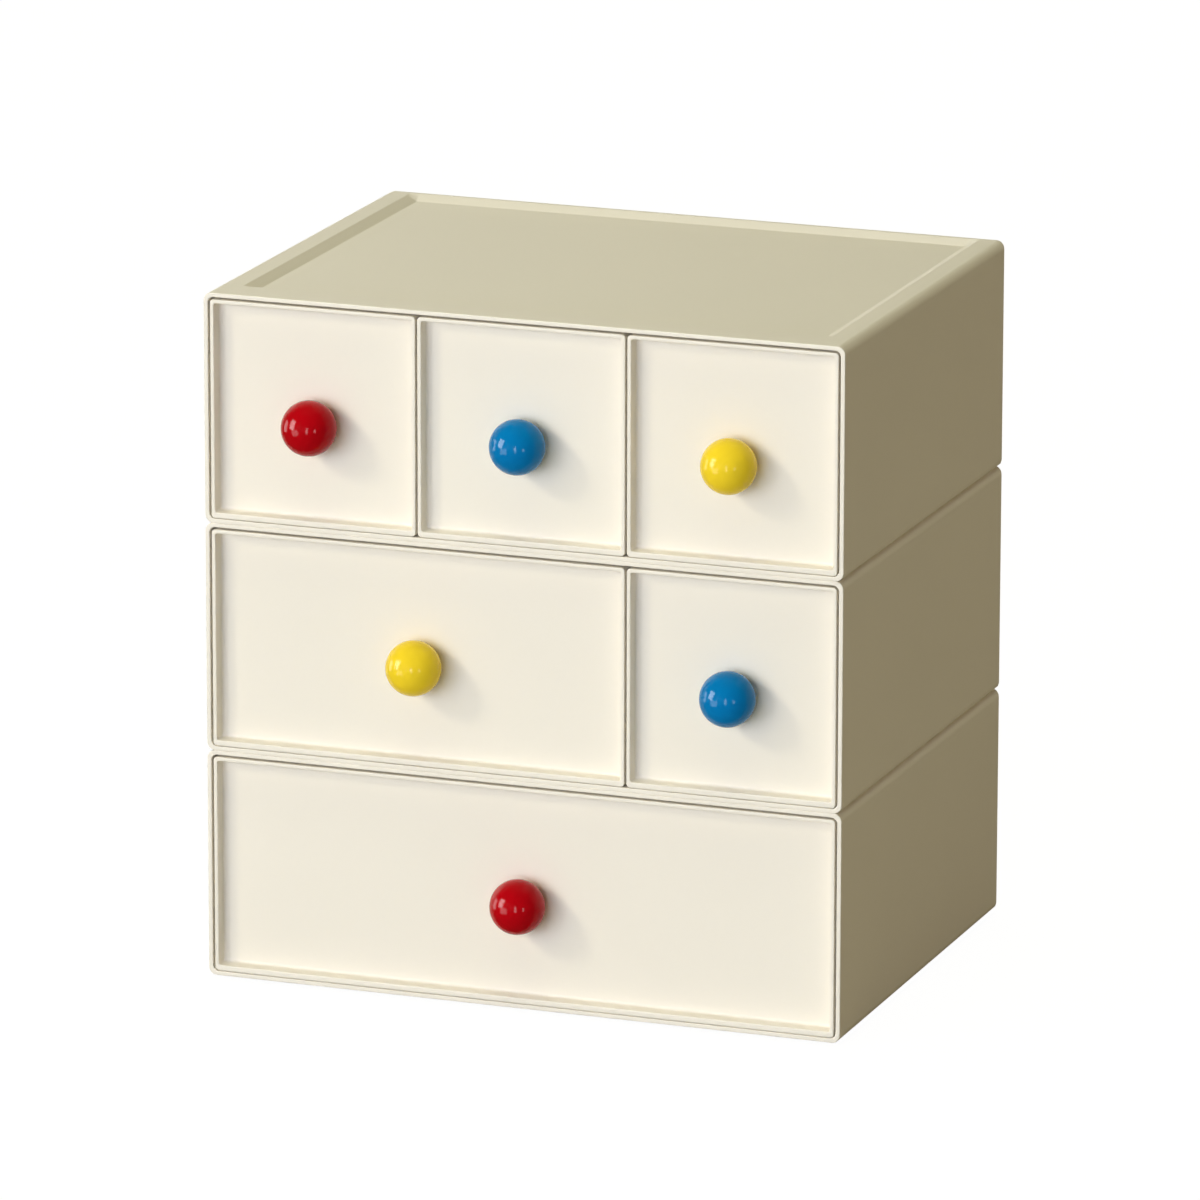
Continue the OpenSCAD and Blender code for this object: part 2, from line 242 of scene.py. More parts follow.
def rounded_path(corners, radii, closed=False, steps=ARC_STEPS):
    """Points along straight runs whose corners are turned on arcs.

    A corner of angle a is cut back by radius / tan(a / 2) along both of its runs, and the
    arc between the cuts swings one radius vector onto the other at an even rate. One more
    point lies before and after each arc, on the runs.
    """
    p = np.asarray(corners, float)
    r = np.asarray(radii, float)
    runs = np.linalg.norm(np.roll(p, -1, 0) - p, axis=1)
    before, after = unit(np.roll(p, 1, 0) - p), unit(np.roll(p, -1, 0) - p)
    cosine = np.clip((before * after).sum(1), -1, 0.999)
    cut = r * np.sqrt((1 + cosine) / (1 - cosine))
    spare = (runs - cut - np.roll(cut, -1)) / 3
    ease_after = np.clip(spare, 0, EASE)
    ease_before = np.roll(ease_after, 1)
    start, end = p + before * cut[:, None], p + after * cut[:, None]
    centre = p + unit(before + after + 1e-12) * (r / np.sqrt((1 - cosine) / 2))[:, None]
    turn = np.maximum(np.pi - np.arccos(cosine), 1e-9)[:, None, None]
    t = np.linspace(0, 1, steps + 1)[None, :, None]
    arc = centre[:, None] + (np.sin((1 - t) * turn) * (start - centre)[:, None]
                             + np.sin(t * turn) * (end - centre)[:, None]) / np.sin(turn)
    lead = (start + before * ease_before[:, None])[:, None]
    trail = (end + after * ease_after[:, None])[:, None]
    turned = np.concatenate([lead, arc, trail], 1)
    if closed:
        return turned.reshape(-1, p.shape[1])
    return np.concatenate([p[:1], turned[1:-1].reshape(-1, p.shape[1]), p[-1:]])


def with_cuts(path, heights):
    """The path with a point added wherever it crosses one of the given second coordinates.

    A crossing within a fiftieth of a run from one of the path's own points adds none.
    """
    start, end = path[:-1, 1:], path[1:, 1:]
    with np.errstate(divide="ignore", invalid="ignore"):
        along = (heights - start) / (end - start)
    crossed = (along > 0.02) & (along < 0.98)
    places = np.arange(len(path))
    at = np.sort(np.concatenate([places, (places[:-1, None] + along)[crossed]]))
    return np.stack([np.interp(at, places, path[:, k]) for k in range(2)], 1)


def rect_loops(half_x, half_y, radius, top, side, bottom=(), steps=ARC_STEPS):
    """Rounded rectangles about the origin, one for each station, point for point alike.

    Each runs along its top edge, and on round; top, side and bottom are the places of the
    points on its straight edges, held between the corner arcs.
    """
    hx, hy, r = (np.asarray(v, float)[:, None]
                 for v in np.broadcast_arrays(half_x, half_y, radius))
    cx, cy = hx - r, hy - r
    sine, cosine = (f(np.linspace(0, np.pi / 2, steps + 1))[None] for f in (np.sin, np.cos))

    def straight(places, limit):
        return np.clip(np.sort(np.asarray(places, float))[None], -limit, limit)

    def level(x, y):
        return np.stack(np.broadcast_arrays(x, y), -1)

    upper, lower = straight(top, cx), straight(bottom, cx)[:, ::-1]
    right, left = straight(side, cy)[:, ::-1], straight(side, cy)
    return np.concatenate([
        level(upper, hy), level(cx + r * sine, cy + r * cosine),
        level(hx, right), level(cx + r * cosine, -cy - r * sine),
        level(lower, -hy), level(-cx - r * sine, -cy - r * cosine),
        level(-hx, left), level(-cx - r * cosine, cy + r * sine),
    ], 1)


# Closed skins: points, quads and flat end faces

def quads_between(rows, columns, ring, loop):
    """Quads between the neighbours of a grid of points numbered row by row."""
    i, j = np.meshgrid(np.arange(rows if ring else rows - 1),
                       np.arange(columns if loop else columns - 1), indexing="ij")
    i1, j1 = (i + 1) % rows, (j + 1) % columns
    corners = [i * columns + j, i * columns + j1, i1 * columns + j1, i1 * columns + j]
    return np.stack(corners, -1).reshape(-1, 4)


def loft(loops, ring=False):
    """A closed skin through loops of points; its ends are flat faces, or meet in a ring."""
    rows, columns, _ = loops.shape
    ends = [] if ring else [np.arange(columns)[::-1],
                            np.arange((rows - 1) * columns, rows * columns)]
    return loops.reshape(-1, 3), quads_between(rows, columns, ring, True), ends


def folded(paths):
    """A closed skin through open paths of which the first and last are folded shut on a line.

    The free ends of all paths lie in one plane and bound the skin's one flat end face.
    """
    rows, columns, _ = paths.shape
    first = np.arange(rows) * columns
    end = np.concatenate([first, first[::-1] + columns - 1])
    return paths.reshape(-1, 3), quads_between(rows, columns, False, False), [end]


def block(low, high, plan_radius, edge_radius):
    """A block between two corners: its rounded plan outline is carried up through a profile
    that turns in by the edge radius at both ends."""
    low, high = np.asarray(low, float), np.asarray(high, float)
    half, centre = (high - low) / 2, (high + low) / 2
    far = (edge_radius + min(half[:2])) / 2
    profile = rounded_path([(far, -half[2]), (0, -half[2]), (0, half[2]), (far, half[2])],
                           [0, edge_radius, edge_radius, 0], steps=SMALL_ARC_STEPS)
    inset, z = profile.T
    radius = np.maximum(plan_radius - inset, plan_radius / 5)
    x_ends, y_ends = (h - plan_radius - EASE for h in half[:2])
    plan = rect_loops(half[0] - inset, half[1] - inset, radius, (-x_ends, x_ends),
                      (-y_ends, y_ends), (-x_ends, x_ends), steps=SMALL_ARC_STEPS)
    height = np.broadcast_to(z[:, None, None], (*plan.shape[:2], 1))
    return loft(np.concatenate([plan, height], -1) + centre)


def moved(skin, offset):
    """The skin carried along by an offset."""
    points, quads, ends = skin
    return points + np.asarray(offset), quads, ends


# Casing

def ramp(t, blend):
    """Zero below -blend and t above blend, joined by a parabola."""
    return np.where(t > blend, t, np.maximum(t + blend, 0) ** 2 / (4 * blend))


def tray_drop(c, width, depth, x, y):
    """Depth of the tray's surface below the rim.

    The distance inside the tray's outline is the least of the distances to its four sides.
    The drop grows with it at the slope's grade, from zero at the outline to the full depth
    past the slope, and parabolas blend the crest, the foot and the mitres.
    """
    to_side = width / 2 - c.tray_rail - np.abs(x)
    to_end = np.minimum(y - c.tray_front, depth - c.tray_back - y)
    near = np.maximum(c.tray_blend - np.abs(to_side - to_end), 0)
    inside = np.minimum(to_side, to_end) - near ** 2 / (4 * c.tray_blend)
    grade = c.tray_depth / c.tray_slope
    return grade * (ramp(inside, c.tray_blend) - ramp(inside - c.tray_slope, c.tray_blend))


def slope_places(c):
    """Distances inside the tray's outline at which its slope is sampled."""
    near = np.linspace(-1.5, 1.5, 7) * c.tray_blend
    return np.concatenate([near, c.tray_slope + near, np.linspace(0.2, 0.8, 5) * c.tray_slope])


def casing_skin(c, width, depth, height):
    """The wall of a casing as one cup.

    A profile of inset against depth runs from the back plate over the outer skin, round
    the lip of the mouth and along the inner skin to the inner face of the back. At each of
    its points stands a rounded rectangle, and the tray's drop is taken off the upper edge
    of every one, so roof and tray keep one wall between them.
    """
    places = slope_places(c)
    far, back = 3 * c.edge_radius, depth - c.wall
    path = rounded_path(
        [(far, depth), (0, depth), (0, 0), (c.wall, 0), (c.wall, back), (far, back)],
        [0, c.rear_corner, c.lip_radius, c.lip_radius, c.lip_radius, 0])
    floor_places = np.linspace(0.2, 0.9, 8) * depth
    inset, y = with_cuts(path, np.concatenate(
        [c.tray_front + places, depth - c.tray_back - places, floor_places])).T

    rear = (np.arange(len(y)) < np.argmin(y)) & (y > depth / 2)
    over = np.clip(y - depth + c.rear_edge, 0, c.rear_edge)
    level_inset = c.rear_edge - np.sqrt(c.rear_edge ** 2 - over ** 2)
    level_inset += np.maximum(inset - c.rear_corner, 0)
    rear_radius = np.interp(inset, [0, c.rear_corner], [c.edge_radius, c.rear_edge])
    other_radius = np.interp(inset, [0, c.wall, 2 * c.wall],
                             [c.edge_radius, c.mouth_radius, c.mouth_radius / 2])

    side_x = width / 2 - c.tray_rail - places
    end_x = width / 2 - c.edge_radius - EASE
    end_z = height / 2 - c.edge_radius - EASE
    across = np.concatenate([side_x, -side_x, np.linspace(-0.4, 0.4, 9) * width,
                             [end_x, -end_x]])
    loops = rect_loops(width / 2 - inset,
                       height / 2 - np.where(rear, level_inset, inset),
                       np.where(rear, rear_radius, other_radius),
                       across, (-end_z, 0, end_z), (-end_x, 0, end_x))
    x, z = loops[..., 0], loops[..., 1]
    y = np.broadcast_to(y[:, None], x.shape)
    z = z + height / 2 - np.where(z > 0, tray_drop(c, width, depth, x, y), 0)
    return loft(np.stack([x, y, z], -1))


def feet_skins(c, width, depth):
    """Four L-shaped feet: the L's outline, drawn in by the profile, carried downwards."""
    side = c.tray_rail + c.tray_slope + c.foot_gap
    centre_y = (c.tray_front - c.tray_back + depth) / 2
    corner = np.array([width / 2 - side,
                       (depth - c.tray_back - c.tray_front) / 2 - c.tray_slope - c.foot_gap])
    leg, foot = c.foot_leg, c.foot_width
    outline = -np.array([(0, 0), (leg, 0), (leg, foot), (foot, foot), (foot, leg), (0, leg)])
    inwards = np.array([(-1, -1), (1, -1), (1, 1), (1, 1), (1, 1), (-1, 1)])
    small = c.foot_radius / 4
    sole = 0.4 * MM
    profile = rounded_path([(0, c.wall / 2), (0, -c.foot_height), (2 * sole, -c.foot_height)],
                           [0, sole, 0], steps=4)
    loops = np.stack([rounded_path(outline + inwards * inset,
                                   [c.foot_radius - inset, *[small] * 5], closed=True)
                      for inset in profile[:, 0]])
    height = np.broadcast_to(profile[:, 1, None, None], (*loops.shape[:2], 1))
    return [loft(np.concatenate([(loops + corner) * (sx, sy) + (0, centre_y), height], -1))
            for sx in (-1, 1) for sy in (-1, 1)]


def rib_skins(c, r, gap, width, depth, height):
    """Runners and divider channels on the floor, and channels and drawer stops below the
    roof, each as a block whose root is sunk into the wall."""
    inner = width - 2 * c.wall
    pitch = (inner - gap) / BAYS
    sunk = c.wall / 2
    back = depth - sunk
    roof = height - c.tray_depth - c.wall
    first = c.tray_front + c.tray_slope + r.setback
    far = gap / 2 + r.runner_reach
    lines = [(i - BAYS / 2) * pitch for i in range(1, BAYS)]
    floor_spans = [(-inner / 2 - sunk, gap + r.runner_reach - inner / 2)]
    floor_spans += [(x + r.slot_half, x + far) for x in lines]
    floor_spans += [(-b, -a) for a, b in floor_spans]
    roof_spans = [(x + r.slot_half, x + r.slot_half + r.channel_width) for x in lines]
    roof_spans += [(-b, -a) for a, b in roof_spans]
    stops = [(i - BAYS / 2 + 0.5) * pitch for i in range(BAYS)]
    boxes = [((a, r.runner_start, sunk), (b, back, c.wall + r.runner_height))
             for a, b in floor_spans]
    boxes += [((a, first, roof - r.channel_height), (b, back, roof + sunk))
              for a, b in roof_spans]
    boxes += [((x - r.stop_width / 2, first, roof - r.stop_height),
               (x + r.stop_width / 2, first + r.stop_depth, roof + sunk)) for x in stops]
    return [block(low, high, r.rounding, r.rounding) for low, high in boxes]


# Drawer

def front_skin(d, k, width, low_z, high_z, knob_z):
    """A drawer front as a ring: its profile runs from the knob's hole over the panel, up
    the recess, over the rim, back along the outside and over the rear to the hole again.

    Half of what the rim's foot is wider than the rest of it is taken off the half height
    and added to the middle height, so only the lower edge of a loop moves.
    """
    deep = d.recess + d.panel
    far = 2 * d.rim
    inset, y = rounded_path(
        [(far, d.recess), (d.rim, d.recess), (d.rim, 0), (0, 0), (0, deep), (far, deep)],
        [0, d.recess_fillet, d.recess_round, d.rim_round, d.rim_round, 0]).T
    half_h, mid_z = (high_z - low_z) / 2, (high_z + low_z) / 2
    radius = np.interp(inset, [0, d.rim, far],
                       [d.front_radius, d.recess_radius, d.recess_radius / 2])
    # Points lie at even angles along the level edges, and evenly up the sides.
    across = half_h * np.tan(np.radians(np.linspace(-72, 72, 17)))
    up = half_h * np.linspace(-0.9, 0.9, 9)
    lift = np.interp(inset, [0, d.rim], [0, d.rim_foot - d.rim]) / 2
    loops = rect_loops(width / 2 - inset, half_h - inset - lift, radius, across, up, across)
    loops[..., 1] += mid_z + lift[:, None]
    hub = np.array([0, knob_z])
    rays = unit(loops[0] - hub)
    # The edge of the hole, and two rings in the panel that keep the faces round it short.
    holes = [hub + rays * r for r in (k.panel_hole / 2, 0.7 * k.collar, 2.2 * k.collar)]
    flat = np.concatenate([holes, loops, holes[::-1]])
    y = np.concatenate([[d.recess] * 3, y, [deep] * 3])
    y = np.broadcast_to(y[:, None], flat.shape[:2])
    return loft(np.stack([flat[..., 0], y, flat[..., 1]], -1), ring=True)


def tub_skin(d, width):
    """The open box behind a front.

    A profile of inset against height runs from the middle of the underside round the lower
    edge, up the wall, over its top and down to the middle of the floor. At each point
    stands a U that runs back, across and forward again; its ends are sunk in the panel.
    """
    middle = width / 2
    inset, z = rounded_path(
        [(middle, d.bottom), (0, d.bottom), (0, d.top), (d.wall, d.top),
         (d.wall, d.bottom + d.floor), (middle, d.bottom + d.floor)],
        [0, d.edge_radius, d.wall_round, d.wall_round, d.inner_radius, 0]).T
    half, back = middle - inset, d.back - inset
    radius = np.minimum(np.maximum(d.corner_radius - inset, 0), half)
    front = d.recess + d.panel / 2
    t = np.linspace(0, np.pi / 2, ARC_STEPS + 1)[None]
    run = np.linspace(0, 1, 5)[None]
    straight = front + (back - radius)[:, None] * run - front * run
    corner_x = (half - radius)[:, None] + radius[:, None] * np.cos(t)
    corner_y = (back - radius)[:, None] + radius[:, None] * np.sin(t)
    x = np.concatenate([np.broadcast_to(half[:, None], straight.shape), corner_x], 1)
    y = np.concatenate([straight, corner_y], 1)
    x, y = np.concatenate([-x, x[:, ::-1]], 1), np.concatenate([y, y[:, ::-1]], 1)
    return folded(np.stack([x, y, np.broadcast_to(z[:, None], x.shape)], -1))


def tab_skins(d, r, pitch, spans, top):
    """Stop tabs that stand on the back wall of a box, one for each bay that it spans."""
    return [block((x - d.tab_width / 2, d.back - d.wall, d.top - d.wall),
                  (x + d.tab_width / 2, d.back, top), r.rounding, r.rounding)
            for x in (np.arange(spans) - (spans - 1) / 2) * pitch]


# Knob

def knob_skin(k, segments=128):
    """A ball on a collar that is hardly seen, turned about the screw's axis.

    The profile of radius against distance from the panel starts on the axis at the end of
    the bore and runs down the bore, out over the seat, up the collar, round a fillet that
    touches collar and ball, and over the ball to its pole. The fillet's centre lies beside
    the axis by the radii of collar and fillet together, and from the ball's centre by the
    radii of ball and fillet together.
    """
    ball, collar, fillet, edge = k.ball / 2, k.collar / 2, k.collar_fillet, k.seat_round
    centre_out = collar + fillet
    centre_up = k.stand - math.sqrt((ball + fillet) ** 2 - centre_out ** 2)
    meet = math.atan2(k.stand - centre_up, -centre_out)
    root = rounded_path([(0, k.bore_depth), (k.bore / 2, k.bore_depth), (k.bore / 2, 0),
                         (collar, 0), (collar, centre_up)], [0, edge, edge, edge, 0],
                        steps=SMALL_ARC_STEPS)
    turn = np.linspace(np.pi, meet, 9)[1:]
    throat = np.stack([centre_out + fillet * np.cos(turn),
                       centre_up + fillet * np.sin(turn)], 1)
    over = np.linspace(meet - np.pi, np.pi / 2, 49)[1:]
    dome = np.stack([ball * np.cos(over), k.stand + ball * np.sin(over)], 1)
    radius, out = np.concatenate([root, throat, dome]).T
    radius[-1] = 0
    around = np.linspace(0, 2 * np.pi, segments, endpoint=False)
    x, z = radius[:, None] * np.cos(around), radius[:, None] * np.sin(around)
    return loft(np.stack([x, np.broadcast_to(-out[:, None], x.shape), z], -1))


# Pieces

def tier_origin(node):
    """Front edge and underside of the casing of the tier that a node belongs to.

    The second word of a node's name is its tier.
    """
    low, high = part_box("casing_" + node.split("_")[1])
    foot = bpy.context.scene.mini_casing.foot_height
    return np.array([(low.x + high.x) / 2, low.y, low.z + foot])


def casing_size():
    """Width, depth and height of a casing, its feet left out."""
    low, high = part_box(CASINGS[0])
    foot = bpy.context.scene.mini_casing.foot_height
    return high.x - low.x, high.y - low.y, high.z - low.z - foot


def add_piece(node, skins, material):
    """Joins closed skins into one piece that stands for a CAD node and rides on its body."""
    kind, place = node.split("_", 1)
    name = f"{place}_{kind}"
    if name in bpy.data.objects:
        bpy.data.objects.remove(bpy.data.objects[name])
    starts = np.cumsum([0] + [len(points) for points, _, _ in skins])
    faces = []
    for start, (_, quads, ends) in zip(starts, skins):
        faces += (quads + start).tolist() + [(end + start).tolist() for end in ends]
    mesh = bpy.data.meshes.new(name)
    mesh.from_pydata(np.concatenate([points for points, _, _ in skins]), [], faces)
    shell = bmesh.new()
    shell.from_mesh(mesh)
    bmesh.ops.remove_doubles(shell, verts=shell.verts, dist=MERGE)
    bmesh.ops.recalc_face_normals(shell, faces=shell.faces)
    shell.to_mesh(mesh)
    shell.free()
    mesh.shade_smooth()
    mesh.set_sharp_from_angle(angle=SHARP)
    mesh.materials.append(material)
    piece = bpy.data.objects.new(name, mesh)
    bpy.context.scene.collection.objects.link(piece)
    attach(piece, BODY_OF[node])
    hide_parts(node)


# Materials

class Value:
    """A shader socket or number that adds Math nodes when it stands in an expression."""

    def __init__(self, nodes, socket):
        self.nodes, self.socket = nodes, socket

    def _math(self, operation, first, second):
        node = self.nodes.add("ShaderNodeMath", {"operation": operation},
                              {0: first, 1: second})
        return Value(self.nodes, node.outputs[0])

    def __add__(self, other):
        return self._math("ADD", self, other)

    def __sub__(self, other):
        return self._math("SUBTRACT", self, other)

    def __rsub__(self, other):
        return self._math("SUBTRACT", other, self)

    def __mul__(self, other):
        return self._math("MULTIPLY", self, other)

    def most(self, other):
        return self._math("MAXIMUM", self, other)

    __radd__, __rmul__ = __add__, __mul__


class Nodes:
    """The node tree of a material or world, emptied, with short ways to fill it."""

    def __init__(self, owner):
        owner.use_nodes = True
        self.tree = owner.node_tree
        self.tree.nodes.clear()

    def add(self, kind, settings=None, sockets=None):
        """Adds a node, makes its settings, then fills its sockets with values or links."""
        node = self.tree.nodes.new(kind)
        for key, value in (settings or {}).items():
            setattr(node, key, value)
        for key, value in (sockets or {}).items():
            if isinstance(value, Value):
                value = value.socket
            if isinstance(value, bpy.types.NodeSocket):
                self.tree.links.new(value, node.inputs[key])
            else:
                node.inputs[key].default_value = value
        return node

    def noise(self, scale, detail=2.0):
        """Noise from 0 to 1 on object coordinates, scale in waves to the metre."""
        place = self.add("ShaderNodeTexCoord").outputs["Object"]
        node = self.add("ShaderNodeTexNoise", {},
                        {"Vector": place, "Scale": scale, "Detail": detail})
        return Value(self, node.outputs[0])

    def blend(self, factor, first, second):
        """A colour between two, by a factor."""
        node = self.add("ShaderNodeMix", {"data_type": "RGBA"},
                        {0: factor, 6: first, 7: second})
        return node.outputs[2]

    def bump(self, height, strength, distance):
        """The normal of a surface raised by a height from 0 to 1 times a distance."""
        return self.add("ShaderNodeBump", {}, {"Height": height, "Strength": strength,
                                               "Distance": distance}).outputs[0]

    def surface(self, sockets):
        """A Principled surface with these sockets, as the material's output."""
        skin = self.add("ShaderNodeBsdfPrincipled", {}, sockets)
        self.add("ShaderNodeOutputMaterial", {}, {"Surface": skin.outputs[0]})


def tinted(base, factor):
    """A colour times a factor, opaque, held below 1."""
    return (*(min(v * factor, 1.0) for v in base), 1.0)


def new_material(name):
    """The material of that name and its emptied nodes."""
    material = bpy.data.materials.get(name) or bpy.data.materials.new(name)
    return material, Nodes(material)


def cream_plastic(f):
    """Satin moulded plastic: a fine grain over slow ripples, with a faint cloud of tone."""
    material, nodes = new_material("cream_plastic")
    cloud, ripple, grain = nodes.noise(14), nodes.noise(170), nodes.noise(1500, 3.0)
    nodes.surface({
        "Base Color": nodes.blend(cloud * 0.7 + grain * 0.3,
                                  tinted(f.cream, 0.975), tinted(f.cream, 1.02)),
        "Roughness": f.cream_roughness + 0.08 * (grain - 0.5) + 0.05 * (cloud - 0.5),
        "IOR": 1.46,
        "Specular IOR Level": f.cream_specular,
        "Normal": nodes.bump(grain * 0.6 + ripple * 0.4, 0.25, 0.03 * MM),
    })
    return material


def knob_gloss(f, slot):
    """Glossy plastic with slight orange peel and a trace of cloud."""
    base = getattr(f, slot.removeprefix("knob_"))
    material, nodes = new_material(slot)
    cloud, peel = nodes.noise(90), nodes.noise(420, 1.0)
    nodes.surface({
        "Base Color": nodes.blend(cloud, tinted(base, 0.95), tinted(base, 1.04)),
        "Roughness": f.knob_roughness + 0.06 * (cloud - 0.5),
        "IOR": 1.5,
        "Specular IOR Level": f.knob_specular,
        "Normal": nodes.bump(peel, 0.12, 0.02 * MM),
    })
    return material


def screw_steel(f):
    """Zinc-plated steel: bright metal with a patchy haze and a fine tooled grain."""
    material, nodes = new_material("screw_steel")
    haze, grain = nodes.noise(700), nodes.noise(5000, 3.0)
    nodes.surface({
        "Base Color": nodes.blend(haze, tinted(f.steel, 0.86), tinted(f.steel, 1.08)),
        "Metallic": 1.0,
        "Roughness": f.steel_roughness + 0.2 * (haze - 0.5),
        "Normal": nodes.bump(grain, 0.3, 0.02 * MM),
    })
    return material


# Operators

class AddCasings(bpy.types.Operator):
    """Adds the three casings with their feet, runners, channels and stops"""
    bl_idname = "mesh.mini_drawers_casings"
    bl_label = "Casings"

    def execute(self, context):
        c, r, d = (context.scene.mini_casing, context.scene.mini_ribs,
                   context.scene.mini_drawer)
        size = casing_size()
        skins = [casing_skin(c, *size), *feet_skins(c, *size[:2]),
                 *rib_skins(c, r, d.gap, *size)]
        plastic = cream_plastic(context.scene.mini_finishes)
        for node in CASINGS:
            placed = [moved(skin, tier_origin(node)) for skin in skins]
            add_piece(node, placed, plastic)
        return {"FINISHED"}


class AddDividers(bpy.types.Operator):
    """Adds the plates that stand between the drawers"""
    bl_idname = "mesh.mini_drawers_dividers"
    bl_label = "Dividers"

    def execute(self, context):
        plastic = cream_plastic(context.scene.mini_finishes)
        rounding = context.scene.mini_ribs.rounding
        for node in DIVIDERS:
            add_piece(node, [block(*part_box(node), rounding, rounding)], plastic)
        return {"FINISHED"}


class AddDrawers(bpy.types.Operator):
    """Adds the six drawers, each a recessed front with a box and its stop tabs"""
    bl_idname = "mesh.mini_drawers_drawers"
    bl_label = "Drawers"

    def execute(self, context):
        scene = context.scene
        c, r, d, k = scene.mini_casing, scene.mini_ribs, scene.mini_drawer, scene.mini_knob
        pitch = (casing_size()[0] - 2 * c.wall - d.gap) / BAYS
        plastic = cream_plastic(scene.mini_finishes)
        for node in DRAWERS:
            low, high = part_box(node)
            knob_low, knob_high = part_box(node.replace("drawer", "knob"))
            origin = tier_origin(node)
            origin[0] = (low.x + high.x) / 2
            width, base = high.x - low.x, origin[2]
            spans = round(width / pitch)
            knob_z = (knob_low.z + knob_high.z) / 2 - base
            skins = [front_skin(d, k, width, low.z - base, high.z - base, knob_z),
                     tub_skin(d, width - 2 * d.inset),
                     *tab_skins(d, r, pitch, spans, self.tab_top(c, d))]
            add_piece(node, [moved(skin, origin) for skin in skins], plastic)
        return {"FINISHED"}

    @staticmethod
    def tab_top(c, d):
        """Height of the tabs' tops in the tier, a small gap below the roof."""
        return casing_size()[2] - c.tray_depth - c.wall - d.tab_gap


class AddKnobs(bpy.types.Operator):
    """Adds the six ball knobs, each seated on its drawer's panel"""
    bl_idname = "mesh.mini_drawers_knobs"
    bl_label = "Knobs"

    def execute(self, context):
        finishes = context.scene.mini_finishes
        skin = knob_skin(context.scene.mini_knob)
        for node in KNOBS:
            low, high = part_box(node)
            seat = ((low.x + high.x) / 2, high.y, (low.z + high.z) / 2)
            slot = KNOB_SLOTS[node]
            add_piece(node, [moved(skin, seat)], knob_gloss(finishes, slot))
        return {"FINISHED"}


class FinishScrews(bpy.types.Operator):
    """Gives the six knob screws their zinc-plated steel"""
    bl_idname = "object.mini_drawers_screws"
    bl_label = "Screws"

    def execute(self, context):
        steel = screw_steel(context.scene.mini_finishes)
        for node in SCREWS:
            screw = frame["nodes"][node]
            screw.data.materials.clear()
            screw.data.materials.append(steel)
        return {"FINISHED"}


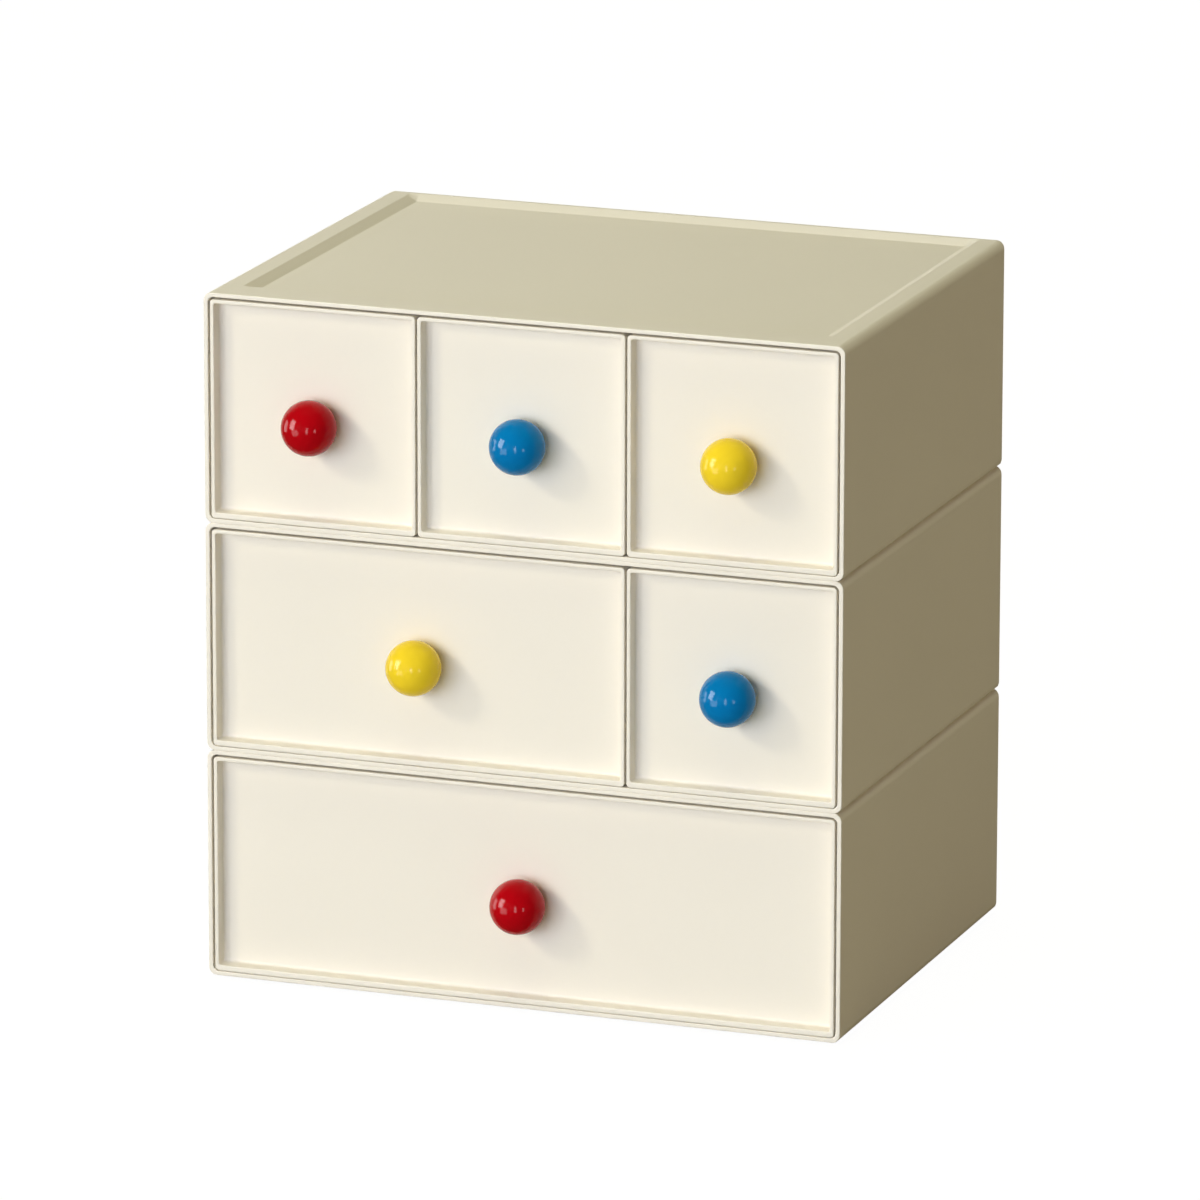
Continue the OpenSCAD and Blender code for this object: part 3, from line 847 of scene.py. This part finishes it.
class AddStudio(bpy.types.Operator):
    """Adds the floor, the lamps, the light from all round and the camera"""
    bl_idname = "scene.mini_drawers_studio"
    bl_label = "Studio"

    WHITE = (1.0, 1.0, 1.0)
    WARM = (1.0, 0.93, 0.70)
    # Soft lamps, which light the part and show in no gloss: direction from the part, width,
    # height, power in watts and colour.
    SOFT = {
        "front": ((-0.11, -1.00, 0.16), 4.2, 2.2, 198.0, (0.797, 0.858, 1.0)),
        "front_left": ((-0.55, -1.00, 0.43), 1.8, 1.6, 38.0, WARM),
        "key": ((-1.00, -1.00, 0.82), 0.8, 0.75, 52.6, WARM),
        "ceiling": ((0.00, -0.03, 1.00), 3.7, 3.7, 107.0, (0.985, 1.0, 0.72)),
        "rear": ((-0.40, 1.00, 0.12), 3.3, 2.0, 80.0, WHITE),
        "rear_right": ((1.00, 0.60, 0.12), 2.0, 2.0, 42.0, (1.0, 0.80, 0.49)),
    }
    # Window panes and strips, which show in gloss alone: direction, width, height, brightness.
    PANES = {
        "pane_left": ((-0.99, -0.06, 0.03), 1.6, 2.3, 7.0),
        "pane_middle": ((-0.79, -0.59, 0.29), 1.9, 2.6, 22.0),
        "pane_low": ((-0.60, -0.80, -0.13), 2.6, 1.9, 8.0),
        "strip_left": ((0.21, -0.98, 0.06), 0.7, 2.0, 14.0),
        "strip_right": ((0.70, -0.72, 0.04), 0.7, 1.2, 11.0),
        "strip_rear": ((-0.66, 0.60, 0.46), 4.5, 0.3, 10.0),
    }

    def execute(self, context):
        studio, scene = context.scene.mini_studio, context.scene
        target = np.array([0, 0, studio.target_height])
        self.floor(studio)
        for name, (direction, width, height, power, tint) in self.SOFT.items():
            lamp = self.lamp(name, target, direction, width, height, power, tint)
            lamp.visible_glossy = False
        for name, (direction, width, height, brightness) in self.PANES.items():
            power = brightness * math.pi * width * height
            pane = self.lamp(name, target, direction, width, height, power, self.WHITE)
            pane.visible_diffuse = False
        self.world(scene, studio)
        self.camera(scene, studio, target)
        scene.view_settings.view_transform = "Standard"
        return {"FINISHED"}

    def lamp(self, name, target, direction, width, height, power, tint):
        """Hangs a rectangular lamp in a direction from the target, and faces it there."""
        light = bpy.data.lights.new(name, "AREA")
        light.shape, light.size, light.size_y = "RECTANGLE", width, height
        light.energy, light.color = power, tint
        towards = unit(np.array(direction))
        side = unit(np.cross((0, 0, 1), towards))
        holder = bpy.data.objects.new(name, light)
        self.place(holder, side, np.cross(towards, side), towards,
                   target + towards * LAMP_DISTANCE)
        return holder

    @staticmethod
    def place(thing, side, up, back, where):
        """Links an object and stands it at a point, looking against back."""
        bpy.context.scene.collection.objects.link(thing)
        thing.matrix_world = Matrix([(*row, w) for row, w in zip(np.stack([side, up, back], 1),
                                                                where)] + [(0, 0, 0, 1)])

    @staticmethod
    def seen(nodes, studio):
        """1 for rays from the camera or through glass, a share of it off gloss, else 0."""
        path = nodes.add("ShaderNodeLightPath")
        camera, glossy, through = (Value(nodes, path.outputs[name]) for name in
                                   ("Is Camera Ray", "Is Glossy Ray", "Is Transmission Ray"))
        return camera.most(glossy * studio.gloss_share).most(through)

    def floor(self, studio):
        """A wide level sheet that takes the shadow, is seen as nearly white and shows in no
        gloss."""
        half, z = FLOOR_HALF, CAD_LOW.z
        mesh = bpy.data.meshes.new("floor")
        mesh.from_pydata([(-half, -half, z), (half, -half, z), (half, half, z),
                          (-half, half, z)], [], [(0, 1, 2, 3)])
        material, nodes = new_material("floor")
        matt = nodes.add("ShaderNodeBsdfDiffuse", {}, {"Color": (*studio.floor, 1.0)})
        glow = nodes.add("ShaderNodeEmission", {}, {"Strength": studio.floor_white})
        mixed = nodes.add("ShaderNodeMixShader", {}, {
            0: self.seen(nodes, studio) * studio.floor_glow,
            1: matt.outputs[0], 2: glow.outputs[0]})
        nodes.add("ShaderNodeOutputMaterial", {}, {"Surface": mixed.outputs[0]})
        mesh.materials.append(material)
        floor = bpy.data.objects.new("floor", mesh)
        bpy.context.scene.collection.objects.link(floor)
        floor.visible_glossy = False

    def world(self, scene, studio):
        """A weak warm light from all round, behind which a seen background is white."""
        scene.world = bpy.data.worlds.new("studio")
        nodes = Nodes(scene.world)
        fill = nodes.add("ShaderNodeBackground", {}, {"Color": (*studio.fill, 1.0),
                                                      "Strength": studio.fill_strength})
        white = nodes.add("ShaderNodeBackground", {}, {"Color": (1, 1, 1, 1), "Strength": 1.0})
        mixed = nodes.add("ShaderNodeMixShader", {}, {
            0: self.seen(nodes, studio), 1: fill.outputs[0], 2: white.outputs[0]})
        nodes.add("ShaderNodeOutputWorld", {}, {"Surface": mixed.outputs[0]})

    def camera(self, scene, studio, target):
        """Looks at the target from an azimuth and elevation, rolled and slid a little."""
        turn, rise, roll = studio.azimuth, studio.elevation, studio.roll
        back = np.array([math.sin(turn) * math.cos(rise), -math.cos(turn) * math.cos(rise),
                         math.sin(rise)])
        level = np.array([math.cos(turn), math.sin(turn), 0])
        upright = np.cross(back, level)
        side = math.cos(roll) * level + math.sin(roll) * upright
        up = math.cos(roll) * upright - math.sin(roll) * level
        data = bpy.data.cameras.new("camera")
        data.sensor_width, data.lens = SENSOR_WIDTH, studio.lens
        data.clip_start, data.clip_end = 0.1, 50.0
        camera = bpy.data.objects.new("camera", data)
        self.place(camera, side, up, back, target + back * studio.distance
                   + side * studio.slide_right + up * studio.slide_up)
        scene.camera = camera


class MiniDrawersPanel(bpy.types.Panel):
    """Sizes, finishes and steps of the drawer stack"""
    bl_idname = "VIEW3D_PT_mini_drawers"
    bl_label = "Mini Drawers"
    bl_space_type = "VIEW_3D"
    bl_region_type = "UI"
    bl_category = "Mini Drawers"

    def draw(self, context):
        for attribute, group in GROUPS.items():
            box = self.layout.box()
            box.label(text=group.bl_rna.name)
            for key in group.__annotations__:
                box.prop(getattr(context.scene, attribute), key)
        for step in STEPS:
            self.layout.operator(step.bl_idname)


GROUPS = {"mini_casing": CasingSizes, "mini_ribs": RibSizes, "mini_drawer": DrawerSizes,
          "mini_knob": KnobSizes, "mini_finishes": Finishes, "mini_studio": Studio}
STEPS = (AddCasings, AddDividers, AddDrawers, AddKnobs, FinishScrews, AddStudio)


def register():
    for cls in (*GROUPS.values(), *STEPS, MiniDrawersPanel):
        bpy.utils.register_class(cls)
    for attribute, group in GROUPS.items():
        setattr(bpy.types.Scene, attribute, PointerProperty(type=group))


def unregister():
    for attribute in GROUPS:
        delattr(bpy.types.Scene, attribute)
    for cls in reversed((*GROUPS.values(), *STEPS, MiniDrawersPanel)):
        bpy.utils.unregister_class(cls)


def main():
    """Makes every piece and the studio."""
    register()
    bpy.ops.mesh.mini_drawers_casings()
    bpy.ops.mesh.mini_drawers_dividers()
    bpy.ops.mesh.mini_drawers_drawers()
    bpy.ops.mesh.mini_drawers_knobs()
    bpy.ops.object.mini_drawers_screws()
    bpy.ops.scene.mini_drawers_studio()


if __name__ == "__main__":
    main()
